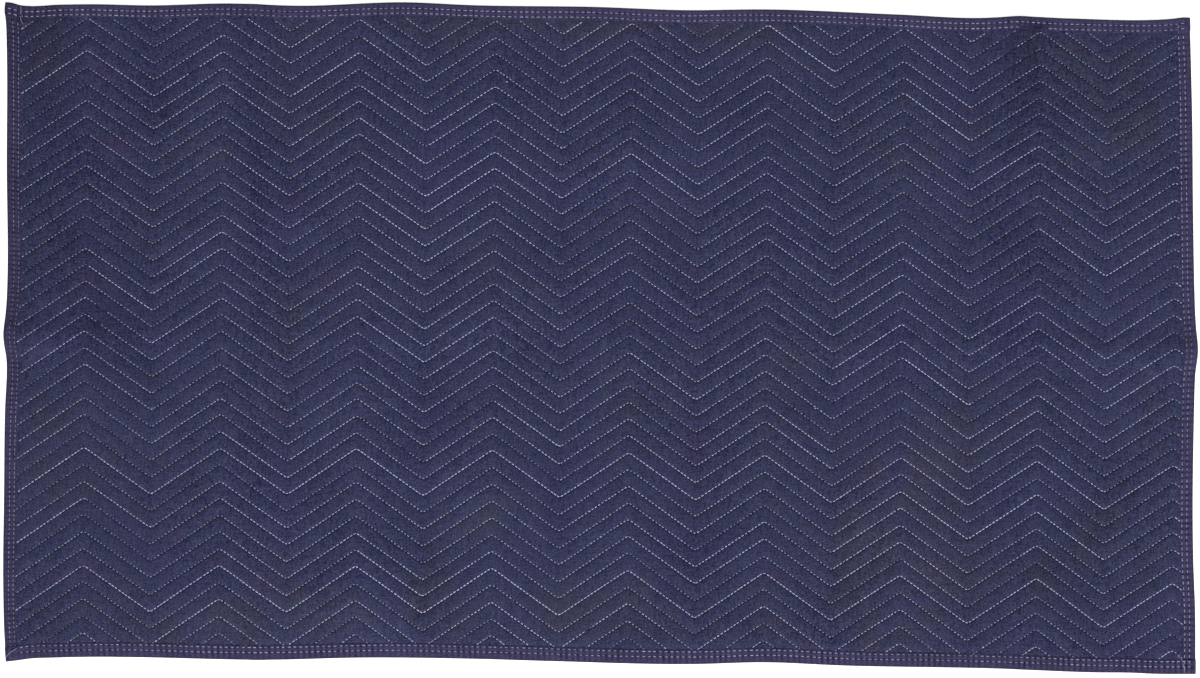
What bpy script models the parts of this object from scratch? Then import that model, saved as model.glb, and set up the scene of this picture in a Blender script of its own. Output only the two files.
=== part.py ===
"""A quilted moving blanket, spread out on a surface.

One quilted panel, sewn all over in close chevrons, and four strips of woven binding folded
over its edges. Metres, +Z up, +X along the length. The origin is on the surface that the
blanket lies on, under the middle of its box.

Every piece is first laid out flat, in u along the length and v across the width, and then
moved to where the real cloth lies by lay(), which bends the edges, and lift(), which raises
the folds.
"""

import math
from collections import namedtuple

import bmesh
import bpy
import numpy as np

# The flat blanket: 72 inches long, and 40 inches wide less what the quilting takes up
LENGTH = 1.829
WIDTH = 1.008

# Thicknesses
TAPE = 0.0008  # the binding's cloth
GAP = 0.0003  # between one piece and the next
LAYER = TAPE + GAP
PRESSED = 0.0020  # the panel where the binding holds it
PRESSED_CORNER = 0.0009  # and where two bindings cross over it
SEAM_TOP = 0.0026  # height of the panel's face along a row of quilting
PUFF_TOP = 0.0046  # and halfway between two rows
BOUND = 2 * LAYER + PRESSED  # height of a bound edge
BOUND_CORNER = 4 * LAYER + PRESSED_CORNER  # height of a corner

FOLD_ROOM = BOUND_CORNER / 2 + 2 * GAP  # what goes into a fold stops this far from its rim
STRIP_CLEAR = 0.0006  # from a strip's inner edge to where the panel starts to swell
SWELL = 0.0054  # how far it takes to swell

# Quilting: chevrons whose rows run along the length
CHEVRON = 0.2085  # from one peak to the next
FALL = 0.1027  # along the length, from a peak to the valley after it
DEPTH = 0.0702  # across the width, from a peak to a valley
ROW_PITCH = 0.0256
FIRST_PEAK = -0.9927  # u of the first column of peaks
CHEVRONS = 10
FIRST_ROW = 0.4932
ROWS_ABOVE = 5  # rows that start above the top edge, whose valleys reach into the panel
ROWS_IN_ALL = 46
ROW_TILT = -0.0157
HALF_SPAN = 0.92

# How the edges lie: "at" runs along an edge, and "rim" is where its outer fold lies there
Edge = namedtuple("Edge", "at rim")
TOP_EDGE = (
    Edge(-0.915, 0.5177),
    Edge(-0.892, 0.5128),
    Edge(-0.880, 0.5117),
    Edge(-0.784, 0.5143),
    Edge(-0.690, 0.5125),
    Edge(-0.571, 0.5155),
    Edge(-0.463, 0.5120),
    Edge(-0.292, 0.5172),
    Edge(-0.198, 0.5130),
    Edge(0.000, 0.5100),
    Edge(0.132, 0.5052),
    Edge(0.259, 0.5063),
    Edge(0.462, 0.4985),
    Edge(0.595, 0.4932),
    Edge(0.646, 0.4955),
    Edge(0.727, 0.4925),
    Edge(0.880, 0.4914),
    Edge(0.915, 0.4938),
)
BOTTOM_EDGE = (
    Edge(-0.915, -0.4986),
    Edge(-0.880, -0.4942),
    Edge(-0.779, -0.4914),
    Edge(-0.719, -0.4918),
    Edge(-0.512, -0.4958),
    Edge(-0.366, -0.4925),
    Edge(-0.190, -0.4945),
    Edge(-0.079, -0.4978),
    Edge(0.141, -0.5025),
    Edge(0.254, -0.4998),
    Edge(0.368, -0.5045),
    Edge(0.610, -0.5094),
    Edge(0.757, -0.5152),
    Edge(0.850, -0.5174),
    Edge(0.915, -0.5177),
)
LEFT_EDGE = (
    Edge(-0.510, -0.9148),
    Edge(-0.389, -0.9200),
    Edge(-0.250, -0.9188),
    Edge(-0.120, -0.9172),
    Edge(-0.050, -0.9146),
    Edge(-0.003, -0.9180),
    Edge(0.050, -0.9146),
    Edge(0.259, -0.9145),
    Edge(0.433, -0.9145),
    Edge(0.494, -0.9170),
    Edge(0.510, -0.9155),
)
RIGHT_EDGE = (
    Edge(-0.510, 0.9165),
    Edge(-0.404, 0.9162),
    Edge(-0.340, 0.9138),
    Edge(-0.110, 0.9145),
    Edge(-0.050, 0.9162),
    Edge(-0.010, 0.9188),
    Edge(0.060, 0.9160),
    Edge(0.220, 0.9130),
    Edge(0.336, 0.9120),
    Edge(0.510, 0.9078),
)

# How the quilting lies, in a few round sizes set by hand
ROW_DROP = 0.010  # the rows lie lower than even spacing puts them
ROW_CROWD = 0.02  # and lower again towards both long edges
ROW_BOW = 0.0075  # they bow up in the middle of the length
COLUMN_SHIFT = -0.005
COLUMN_STRETCH = 0.006
COLUMN_LEAN = 0.008  # the columns lean to the right towards the top edge

# The folds left from storage: soft ridges, each with its height at places along it
Ridge = namedtuple("Ridge", "along at reach heights")
Height = namedtuple("Height", "at height")
RIDGES = (
    Ridge(
        "length",
        -0.008,
        0.038,
        (
            Height(-0.915, 0.0070),
            Height(-0.780, 0.0045),
            Height(-0.600, 0.0020),
            Height(-0.350, 0.0024),
            Height(-0.060, 0.0),
            Height(0.220, 0.0),
            Height(0.440, 0.0026),
            Height(0.590, 0.0014),
            Height(0.700, 0.0040),
            Height(0.915, 0.0070),
        ),
    ),
    Ridge(
        "width",
        -0.528,
        0.022,
        (Height(-0.504, 0.0026), Height(-0.250, 0.0012), Height(-0.080, 0.0), Height(0.504, 0.0026)),
    ),
    Ridge(
        "width",
        0.650,
        0.028,
        (Height(-0.504, 0.0012), Height(-0.080, 0.0), Height(0.350, 0.0025), Height(0.504, 0.0050)),
    ),
)

# The bindings: how far each reaches in from its fold, at its first end and at its last
Strip = namedtuple("Strip", "name side first_reach last_reach")
STRIPS = (
    Strip("binding_top", "top", 0.0195, 0.0200),
    Strip("binding_bottom", "bottom", 0.0225, 0.0225),
    Strip("binding_left", "left", 0.0185, 0.0220),
    Strip("binding_right", "right", 0.0200, 0.0215),
)
SPARE = 0.03  # how far a shape that is cut by another goes on past it

NAVY = (0.0365, 0.0375, 0.0810, 1.0)
PURPLE_NAVY = (0.0560, 0.0510, 0.1080, 1.0)


def clamped(value):
    return min(max(value, 0.0), 1.0)


# ---------------------------------------------------------------- where the cloth lies


def ridge_breaks(along):
    """Places where the folds that run this way start, crest and end."""
    return [
        ridge.at + side * ridge.reach
        for ridge in RIDGES
        if ridge.along == along
        for side in (-1, 0, 1)
    ]


def held_depth(side):
    """How far in from a side's rim its binding holds the panel pressed."""
    strip = next(strip for strip in STRIPS if strip.side == side)
    return max(strip.first_reach, strip.last_reach) + STRIP_CLEAR


def stations(half, edges, crossing_folds, first_side, last_side):
    """Every place along two facing edges where a binding bends, rises or ends."""
    places = {row.at for edge in edges for row in edge if abs(row.at) < half}
    places.update(ridge_breaks(crossing_folds))
    for swell in (0, SWELL):
        places.add(-half + held_depth(first_side) + swell)
        places.add(half - held_depth(last_side) - swell)
    return [-half, *sorted(places), half]


LONG_STATIONS = stations(LENGTH / 2, (TOP_EDGE, BOTTOM_EDGE), "width", "left", "right")
SHORT_STATIONS = stations(WIDTH / 2, (LEFT_EDGE, RIGHT_EDGE), "length", "bottom", "top")


def rim_at(edge, at):
    return np.interp(at, [row.at for row in edge], [row.rim for row in edge])


def lay(u, v):
    """The place on the surface of a point of the flat blanket."""
    s = u / LENGTH + 0.5
    t = v / WIDTH + 0.5
    left, right = rim_at(LEFT_EDGE, v), rim_at(RIGHT_EDGE, v)
    bottom, top = rim_at(BOTTOM_EDGE, u), rim_at(TOP_EDGE, u)
    return left + (right - left) * s, bottom + (top - bottom) * t


def flat(x, y):
    """The point of the flat blanket that lies at a place: lay() the other way round."""
    u, v = x, y
    for _ in range(4):
        laid_x, laid_y = lay(u, v)
        u, v = u + x - laid_x, v + y - laid_y
    return u, v


def lift(u, v):
    """How high the folds raise the cloth off the surface."""
    height = 0.0
    for ridge in RIDGES:
        across, along = (v, u) if ridge.along == "length" else (u, v)
        slope = clamped(1 - abs(across - ridge.at) / ridge.reach)
        crest = np.interp(along, [h.at for h in ridge.heights], [h.height for h in ridge.heights])
        height += slope * crest
    return height


def hold(side, u, v):
    """1 where a side's binding holds the panel, falling to 0 where the panel has swollen."""
    depth = {
        "top": WIDTH / 2 - v,
        "bottom": WIDTH / 2 + v,
        "left": LENGTH / 2 + u,
        "right": LENGTH / 2 - u,
    }[side]
    return clamped((held_depth(side) + SWELL - depth) / SWELL)


def holds(u, v):
    """How much the long bindings and the short bindings hold a point."""
    long_hold = max(hold("top", u, v), hold("bottom", u, v))
    short_hold = max(hold("left", u, v), hold("right", u, v))
    return long_hold, short_hold


# ---------------------------------------------------------------- the quilted panel


def quilting_point(row, peak, valley):
    """Where a row of quilting meets a column of peaks, or the column of valleys after it."""
    column = FIRST_PEAK + peak * CHEVRON + valley * FALL
    straight = FIRST_ROW - row * ROW_PITCH - valley * DEPTH + ROW_TILT * column
    bow = 1 - (column / HALF_SPAN) ** 2
    x = column * (1 + COLUMN_STRETCH) + COLUMN_SHIFT + COLUMN_LEAN * straight
    y = straight - ROW_DROP - ROW_CROWD * straight**2 + ROW_BOW * bow
    return x, y


def quilted_face():
    """The panel's face in flat u and v, with the height of its seams and puffs as z."""
    face = bmesh.new()
    grid = []
    for half_row in range(2 * ROWS_IN_ALL + 1):
        height = PUFF_TOP if half_row % 2 else SEAM_TOP
        line = []
        for half_chevron in range(2 * CHEVRONS):
            x, y = quilting_point(half_row / 2 - ROWS_ABOVE, half_chevron // 2, half_chevron % 2)
            line.append(face.verts.new((*flat(x, y), height)))
        grid.append(line)
    for upper, lower in zip(grid, grid[1:]):
        for i in range(len(upper) - 1):
            face.faces.new((lower[i], lower[i + 1], upper[i + 1], upper[i]))
    return face


def cut(face, first, second, drop_left=False):
    """Cuts the face along a line between two flat points, and may drop what is left of it."""
    along = (second[0] - first[0], second[1] - first[1])
    bmesh.ops.bisect_plane(
        face,
        geom=face.verts[:] + face.edges[:] + face.faces[:],
        dist=1e-6,
        plane_co=(*first, 0),
        plane_no=(-along[1], along[0], 0),
        clear_outer=drop_left,
    )


def trim_to_outline(face):
    u = LENGTH / 2 - FOLD_ROOM
    v = WIDTH / 2 - FOLD_ROOM
    corners = ((-u, -v), (-u, v), (u, v), (u, -v))
    for first, second in zip(corners, corners[1:] + corners[:1]):
        cut(face, first, second, drop_left=True)


def mark_folds(face):
    """Cuts along the bindings' inner edges and along the folds, where the face changes slope."""
    u, v = LENGTH / 2, WIDTH / 2
    for at in [held_depth("bottom") - v, *ridge_breaks("length"), v - held_depth("top")]:
        cut(face, (-u, at), (u, at))
    for at in [held_depth("left") - u, *ridge_breaks("width"), u - held_depth("right")]:
        cut(face, (at, -v), (at, v))


def closed_between(upper, lower, faces):
    """A solid between two sets of points that share one set of triangles or quads."""
    count = len(upper)
    shell = [tuple(face) for face in faces]
    shell += [tuple(i + count for i in reversed(face)) for face in faces]
    edges = {(a, b) for face in faces for a, b in zip(face, (*face[1:], face[0]))}
    rim = sorted(edge for edge in edges if edge[::-1] not in edges)
    shell += [(b, a, a + count, b + count) for a, b in rim]
    return upper + lower, shell


def panel_face():
    """The solid under the quilted face, which goes on down past the underside."""
    face = quilted_face()
    trim_to_outline(face)
    mark_folds(face)
    bmesh.ops.triangulate(face, faces=face.faces[:])
    face.verts.index_update()
    upper = []
    for vert in face.verts:
        u, v, quilt_top = vert.co
        held = max(holds(u, v))
        height = (1 - held) * quilt_top + held * (LAYER + PRESSED) + lift(u, v)
        upper.append((*lay(u, v), height))
    faces = [[vert.index for vert in triangle.verts] for triangle in face.faces]
    face.free()
    return closed_between(upper, [(x, y, -SPARE) for x, y, _ in upper], faces)


def panel_room():
    """The room above the underside, which is flat but for the bindings and the folds."""
    lower = []
    for v in SHORT_STATIONS:
        for u in LONG_STATIONS:
            lower.append((*lay(u, v), LAYER * sum(holds(u, v)) + lift(u, v)))
    across = len(LONG_STATIONS)
    faces = [
        (i + j * across, i + 1 + j * across, i + 1 + (j + 1) * across, i + (j + 1) * across)
        for j in range(len(SHORT_STATIONS) - 1)
        for i in range(across - 1)
    ]
    return closed_between([(x, y, SPARE) for x, y, _ in lower], lower, faces)


# ---------------------------------------------------------------- the bindings


def tape_section(reach, low, high):
    """The folded tape cut across: (distance in from the rim, height), round its outside."""
    middle = (low + high) / 2
    outer = (high - low) / 2
    points = [(reach, low), (outer, low)]
    for turn in (225, 180, 135):
        angle = math.radians(turn)
        points.append((outer + outer * math.cos(angle), middle + outer * math.sin(angle)))
    points += [(outer, high), (reach, high), (reach, high - TAPE), (outer, high - TAPE)]
    points += [(TAPE, middle), (outer, low + TAPE), (reach, low + TAPE)]
    return points


def reach_of(strip, q):
    """How far a binding reaches in, at a place along it."""
    half = LENGTH / 2 if strip.side in ("top", "bottom") else WIDTH / 2
    share = (q / half + 1) / 2
    return strip.first_reach + (strip.last_reach - strip.first_reach) * share


def strip_point(side, q, depth):
    """The flat point at a place along a side, a distance in from its rim."""
    return {
        "top": (q, WIDTH / 2 - depth),
        "bottom": (q, -WIDTH / 2 + depth),
        "left": (-LENGTH / 2 + depth, q),
        "right": (LENGTH / 2 - depth, q),
    }[side]


def strip_heights(side, u, v):
    """The lowest and highest faces of a strip at a flat point, before the folds raise it."""
    long_hold, short_hold = holds(u, v)
    if side in ("top", "bottom"):
        return 0.0, BOUND + short_hold * (BOUND_CORNER - BOUND)
    return LAYER * long_hold, BOUND


def binding(strip):
    """A strip folded over its side. The short sides' ends are tucked into the long sides' folds."""
    if strip.side in ("top", "bottom"):
        places = LONG_STATIONS
    else:
        end = WIDTH / 2 - FOLD_ROOM
        places = [-end, *SHORT_STATIONS[1:-1], end]
    points = []
    for q in places:
        reach = reach_of(strip, q)
        middle = strip_point(strip.side, q, reach / 2)
        low, high = strip_heights(strip.side, *middle)
        for depth, height in tape_section(reach, low, high):
            u, v = strip_point(strip.side, q, depth)
            points.append((*lay(u, v), height + lift(u, v)))
    round_count = len(points) // len(places)
    faces = []
    for i in range(len(places) - 1):
        for j in range(round_count):
            a = i * round_count + j
            b = i * round_count + (j + 1) % round_count
            faces.append((a, b, b + round_count, a + round_count))
    faces.append(tuple(reversed(range(round_count))))
    faces.append(tuple(range(len(points) - round_count, len(points))))
    if strip.side in ("top", "left"):
        return points, faces
    return points, [tuple(reversed(face)) for face in faces]


# ---------------------------------------------------------------- objects


def cloth_material(name, colour, roughness):
    material = bpy.data.materials.new(name)
    material.use_nodes = True
    shader = material.node_tree.nodes["Principled BSDF"]
    shader.inputs["Base Color"].default_value = colour
    shader.inputs["Roughness"].default_value = roughness
    shader.inputs["Metallic"].default_value = 0.0
    return material


def add_object(name, shape, material):
    points, faces = shape
    mesh = bpy.data.meshes.new(name)
    mesh.from_pydata(points, [], faces)
    mesh.materials.append(material)
    mesh.shade_smooth()
    mesh.set_sharp_from_angle(angle=math.radians(40))
    piece = bpy.data.objects.new(name, mesh)
    bpy.context.scene.collection.objects.link(piece)
    return piece


def centre(pieces, helpers):
    """Moves everything so that the middle of the pieces' box is over the origin."""
    corners = np.array([vert.co for piece in pieces for vert in piece.data.vertices])
    middle = (corners.min(axis=0) + corners.max(axis=0)) / 2
    for thing in pieces + helpers:
        thing.location = (-middle[0], -middle[1], 0)


def main():
    for old in list(bpy.data.objects):
        bpy.data.objects.remove(old)
    quilt = cloth_material("quilted_cloth", NAVY, 0.92)
    tape = cloth_material("binding_tape", PURPLE_NAVY, 0.85)
    panel = add_object("quilted_panel", panel_face(), quilt)
    room = add_object("panel_room", panel_room(), quilt)
    room.hide_render = True
    room.display_type = "WIRE"
    underside = panel.modifiers.new("underside", "BOOLEAN")
    underside.operation = "INTERSECT"
    underside.object = room
    pieces = [panel]
    for strip in STRIPS:
        pieces.append(add_object(strip.name, binding(strip), tape))
    centre(pieces, [room])


main()
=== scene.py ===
# %% [markdown]
# # A quilted moving blanket, spread out flat
#
# The real thing is four kinds of piece: one quilted panel, four strips of woven tape folded
# over its edges, the thread that quilts the panel, and the thread that sews the tape on.
# Everything here is worked out with numpy and handed to Blender as plain meshes, because a
# blanket is thousands of small things that follow a few simple rules.
#
# First the frame is loaded: the solid model that every piece here has to fit.

# %% Load the frame
import math
from collections import namedtuple

import bmesh
import bpy
import numpy as np
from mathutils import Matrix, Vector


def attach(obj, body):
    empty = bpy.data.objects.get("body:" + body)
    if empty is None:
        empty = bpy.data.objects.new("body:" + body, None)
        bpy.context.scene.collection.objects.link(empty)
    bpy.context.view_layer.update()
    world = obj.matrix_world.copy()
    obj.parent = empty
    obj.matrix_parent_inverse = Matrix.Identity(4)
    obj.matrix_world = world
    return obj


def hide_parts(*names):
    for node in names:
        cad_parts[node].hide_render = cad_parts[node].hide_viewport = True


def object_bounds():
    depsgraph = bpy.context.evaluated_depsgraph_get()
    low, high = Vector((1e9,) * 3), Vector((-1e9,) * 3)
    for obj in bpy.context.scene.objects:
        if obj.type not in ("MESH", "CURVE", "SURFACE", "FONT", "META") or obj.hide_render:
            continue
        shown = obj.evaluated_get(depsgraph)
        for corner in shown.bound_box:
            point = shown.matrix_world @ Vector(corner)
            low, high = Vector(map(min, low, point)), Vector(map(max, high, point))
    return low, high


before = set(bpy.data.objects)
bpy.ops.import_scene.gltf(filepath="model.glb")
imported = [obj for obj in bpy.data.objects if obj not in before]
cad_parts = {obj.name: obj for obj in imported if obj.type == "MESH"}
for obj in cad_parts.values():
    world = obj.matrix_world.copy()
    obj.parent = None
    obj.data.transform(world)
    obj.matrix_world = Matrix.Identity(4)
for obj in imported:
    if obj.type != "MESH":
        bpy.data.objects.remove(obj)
cad_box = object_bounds()
scene = bpy.context.scene
scene.view_settings.view_transform = "Standard"
print("solid model:", sorted(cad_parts), "box", cad_box)

# %% [markdown]
# ## The light and the camera
#
# A blanket shown for sale lies on a white floor, and the camera looks straight down on it.
# The light is soft: a bright room, one lamp above, and one large lamp lower down and far off
# on the near side. Light that grazes the cloth from one side is what shows the quilting: each
# puff is a little brighter on the side that faces the lamp.

# %% Camera, straight above
CAMERA_HEIGHT = 3.4
FRAME_MARGIN = 1.0048  # the picture's width, in lengths of the blanket
CLOTH_LEVEL = 0.004
length_shown = (cad_box[1][0] - cad_box[0][0]) * FRAME_MARGIN
camera_data = bpy.data.cameras.new("camera")
camera_data.sensor_width = 36.0
camera_data.lens = camera_data.sensor_width * (CAMERA_HEIGHT - CLOTH_LEVEL) / length_shown
camera = bpy.data.objects.new("camera", camera_data)
camera.location = (0.0, -0.0015, CAMERA_HEIGHT)
scene.collection.objects.link(camera)
scene.camera = camera
print("lens", round(camera_data.lens, 1), "mm, the picture is", round(length_shown, 3), "m wide")


# %% Floor, sky and lamps
def add_lamp(name, place, aim, size, power):
    """A square soft box that faces a point."""
    data = bpy.data.lights.new(name, "AREA")
    data.shape = "SQUARE"
    data.size = size
    data.energy = power
    lamp = bpy.data.objects.new(name, data)
    lamp.location = place
    away = np.array(place) - np.array(aim)
    lamp.rotation_euler = (
        math.atan2(math.hypot(away[0], away[1]), away[2]),
        0.0,
        math.atan2(away[1], away[0]) + math.pi / 2,
    )
    scene.collection.objects.link(lamp)
    return lamp


def add_floor():
    size = 9.0
    corners = [(-size, -size), (size, -size), (size, size), (-size, size)]
    mesh = bpy.data.meshes.new("floor")
    mesh.from_pydata([(x, y, -0.0004) for x, y in corners], [], [(0, 1, 2, 3)])
    floor = bpy.data.objects.new("floor", mesh)
    scene.collection.objects.link(floor)
    paint = bpy.data.materials.new("white_floor")
    paint.use_nodes = True
    shader = paint.node_tree.nodes["Principled BSDF"]
    shader.inputs["Base Color"].default_value = (0.93, 0.93, 0.93, 1.0)
    shader.inputs["Roughness"].default_value = 0.9
    shader.inputs["Specular IOR Level"].default_value = 0.1
    shader.inputs["Emission Color"].default_value = (1.0, 1.0, 1.0, 1.0)
    shader.inputs["Emission Strength"].default_value = 0.50
    mesh.materials.append(paint)
    return floor


floor = add_floor()
near_lamp = add_lamp("near_lamp", (0.5, -6.6, 4.7), (0.0, 0.0, 0.0), 3.4, 660.0)
top_lamp = add_lamp("top_lamp", (0.3, 0.8, 4.2), (0.0, 0.0, 0.0), 3.5, 55.0)
world = bpy.data.worlds.new("soft_room")
world.use_nodes = True
world.node_tree.nodes["Background"].inputs["Color"].default_value = (1.0, 1.0, 1.0, 1.0)
world.node_tree.nodes["Background"].inputs["Strength"].default_value = 0.39
scene.world = world
print("lamps:", near_lamp.name, top_lamp.name, "floor:", floor.name)

# %% [markdown]
# ## Where the cloth lies
#
# The blanket is sewn as a rectangle, but nobody lays one out perfectly. So each shape is made
# twice over in the mind: flat, as `u` along the length and `v` across the width, and then
# laid, where `lay()` moves it to the uneven outline and `lift()` raises the folds that the
# cloth kept from being stored. Sewing rules stay simple in the flat, and every piece that goes
# through the same two functions still fits its neighbours.

# %% Flat sizes and the uneven edges
LENGTH = 1.829
WIDTH = 1.008
Edge = namedtuple("Edge", "at rim")
TOP_EDGE = (
    Edge(-0.915, 0.5177),
    Edge(-0.906, 0.5167),
    Edge(-0.892, 0.5128),
    Edge(-0.880, 0.5117),
    Edge(-0.833, 0.5136),
    Edge(-0.784, 0.5143),
    Edge(-0.690, 0.5125),
    Edge(-0.571, 0.5155),
    Edge(-0.463, 0.5120),
    Edge(-0.292, 0.5172),
    Edge(-0.198, 0.5130),
    Edge(0.000, 0.5100),
    Edge(0.132, 0.5052),
    Edge(0.259, 0.5063),
    Edge(0.462, 0.4985),
    Edge(0.595, 0.4932),
    Edge(0.646, 0.4955),
    Edge(0.727, 0.4925),
    Edge(0.880, 0.4914),
    Edge(0.890, 0.4922),
    Edge(0.905, 0.4939),
    Edge(0.915, 0.4936),
)
BOTTOM_EDGE = (
    Edge(-0.915, -0.4986),
    Edge(-0.897, -0.4966),
    Edge(-0.880, -0.4942),
    Edge(-0.841, -0.4925),
    Edge(-0.779, -0.4913),
    Edge(-0.719, -0.4918),
    Edge(-0.512, -0.4958),
    Edge(-0.366, -0.4925),
    Edge(-0.190, -0.4945),
    Edge(-0.079, -0.4978),
    Edge(0.141, -0.5025),
    Edge(0.254, -0.4998),
    Edge(0.368, -0.5045),
    Edge(0.610, -0.5094),
    Edge(0.757, -0.5152),
    Edge(0.820, -0.5160),
    Edge(0.850, -0.5174),
    Edge(0.915, -0.5177),
)
LEFT_EDGE = (
    Edge(-0.510, -0.9148),
    Edge(-0.466, -0.9180),
    Edge(-0.389, -0.9200),
    Edge(-0.250, -0.9188),
    Edge(-0.120, -0.9172),
    Edge(-0.050, -0.9146),
    Edge(-0.003, -0.9180),
    Edge(0.050, -0.9146),
    Edge(0.259, -0.9145),
    Edge(0.433, -0.9145),
    Edge(0.467, -0.9154),
    Edge(0.494, -0.9172),
    Edge(0.510, -0.9150),
)
RIGHT_EDGE = (
    Edge(-0.510, 0.9165),
    Edge(-0.404, 0.9162),
    Edge(-0.340, 0.9138),
    Edge(-0.110, 0.9145),
    Edge(-0.050, 0.9162),
    Edge(-0.010, 0.9188),
    Edge(0.060, 0.9160),
    Edge(0.220, 0.9130),
    Edge(0.336, 0.9120),
    Edge(0.510, 0.9078),
)
print("edge tables:", [len(edge) for edge in (TOP_EDGE, BOTTOM_EDGE, LEFT_EDGE, RIGHT_EDGE)])


# %% A smooth curve through a short table
def smooth_through(places, values, at):
    """Values on the smooth curve through a table's points, for a whole array of places."""
    places, values, at = np.asarray(places), np.asarray(values), np.asarray(at, float)
    slopes = np.gradient(values, places)
    i = np.clip(np.searchsorted(places, at) - 1, 0, len(places) - 2)
    span = places[i + 1] - places[i]
    t = np.clip((at - places[i]) / span, 0.0, 1.0)
    return (
        values[i] * (1 + 2 * t) * (1 - t) ** 2
        + values[i + 1] * t * t * (3 - 2 * t)
        + span * t * (1 - t) * (slopes[i] * (1 - t) - slopes[i + 1] * t)
    )


def rim_at(edge, at):
    return smooth_through([row.at for row in edge], [row.rim for row in edge], at)


MIDDLE_X = (min(row.rim for row in LEFT_EDGE) + max(row.rim for row in RIGHT_EDGE)) / 2


def lay(u, v):
    """Where points of the flat blanket lie on the floor."""
    s, t = u / LENGTH + 0.5, v / WIDTH + 0.5
    left, right = rim_at(LEFT_EDGE, v), rim_at(RIGHT_EDGE, v)
    bottom, top = rim_at(BOTTOM_EDGE, u), rim_at(TOP_EDGE, u)
    return left + (right - left) * s - MIDDLE_X, bottom + (top - bottom) * t


def flat(x, y):
    """The flat points that lie at given places: lay() the other way round, by trial."""
    u, v = x, y
    for _ in range(5):
        laid_x, laid_y = lay(u, v)
        u, v = u + x - laid_x, v + y - laid_y
    return u, v


print("corner lies at", [round(float(c), 4) for c in lay(-LENGTH / 2, WIDTH / 2)])

# %% [markdown]
# ## Folds and creases
#
# A folded blanket remembers its folds. The three main ones are soft ridges that lift the whole
# cloth, face and back. The small creases only mark the face: a short pinch here, a trough
# there. Each is one row of a table, so they stay as uneven as on the real cloth, where a
# noise texture would spread them evenly.

# %% The storage folds
Ridge = namedtuple("Ridge", "along at reach heights")
RIDGES = (
    Ridge(
        "length",
        -0.008,
        0.038,
        (
            (-0.915, 0.0070),
            (-0.780, 0.0045),
            (-0.600, 0.0020),
            (-0.350, 0.0024),
            (-0.060, 0.0),
            (0.220, 0.0),
            (0.440, 0.0026),
            (0.590, 0.0014),
            (0.700, 0.0040),
            (0.915, 0.0070),
        ),
    ),
    Ridge("width", -0.528, 0.022, ((-0.504, 0.0026), (-0.250, 0.0012), (-0.080, 0.0), (0.504, 0.0026))),
    Ridge("width", 0.650, 0.028, ((-0.504, 0.0012), (-0.080, 0.0), (0.350, 0.0025), (0.504, 0.0050))),
)


def soft_ridge(away):
    """1 on the crest, falling smoothly to 0 at a distance of 1."""
    return np.cos(np.clip(np.abs(away), 0, 1) * math.pi / 2) ** 2


def lift(u, v):
    """How high the storage folds raise the cloth."""
    height = np.zeros(np.broadcast(u, v).shape)
    for ridge in RIDGES:
        across, along = (v, u) if ridge.along == "length" else (u, v)
        places, heights = zip(*ridge.heights)
        tall = np.interp(along, places, heights)
        height = height + soft_ridge((across - ridge.at) / ridge.reach) * tall
    return height


print("highest fold", max(h for ridge in RIDGES for _, h in ridge.heights) * 1000, "mm")

# %% The small creases in the face
Crease = namedtuple("Crease", "u0 v0 u1 v1 reach height")
CREASES = (
    Crease(-0.309, -0.135, -0.290, -0.222, 0.006, -0.0012),
    Crease(-0.037, -0.140, -0.040, -0.250, 0.007, -0.0010),
    Crease(-0.155, -0.430, -0.153, -0.490, 0.008, -0.0009),
    Crease(-0.030, -0.405, -0.010, -0.490, 0.009, -0.0007),
    Crease(0.259, -0.460, 0.259, -0.497, 0.008, -0.0008),
    Crease(0.580, -0.370, 0.578, -0.500, 0.012, -0.0008),
    Crease(0.637, 0.490, 0.640, 0.400, 0.006, -0.0013),
    Crease(0.656, 0.480, 0.661, 0.385, 0.007, 0.0013),
    Crease(0.672, 0.470, 0.676, 0.400, 0.006, -0.0010),
    Crease(-0.760, 0.050, -0.768, 0.010, 0.007, 0.0010),
    Crease(-0.160, 0.385, -0.158, 0.250, 0.014, -0.0009),
    Crease(0.470, -0.120, 0.462, -0.210, 0.009, -0.0006),
    Crease(0.385, -0.250, 0.372, -0.440, 0.016, -0.0008),
    Crease(-0.240, -0.300, -0.262, -0.450, 0.018, -0.0009),
    Crease(-0.375, 0.440, -0.372, 0.280, 0.018, -0.0008),
    Crease(-0.800, 0.290, -0.790, 0.030, 0.016, -0.0007),
)


def creased(u, v):
    """The height that the small creases add to the face."""
    height = np.zeros(np.broadcast(u, v).shape)
    for crease in CREASES:
        run_u, run_v = crease.u1 - crease.u0, crease.v1 - crease.v0
        length = math.hypot(run_u, run_v)
        along = ((u - crease.u0) * run_u + (v - crease.v0) * run_v) / length
        across = ((u - crease.u0) * run_v - (v - crease.v0) * run_u) / length
        ends = np.clip(along / 0.02, 0, 1) * np.clip((length - along) / 0.02, 0, 1)
        height = height + crease.height * soft_ridge(across / crease.reach) * ends
    return height


print(len(CREASES), "small creases")
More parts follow.
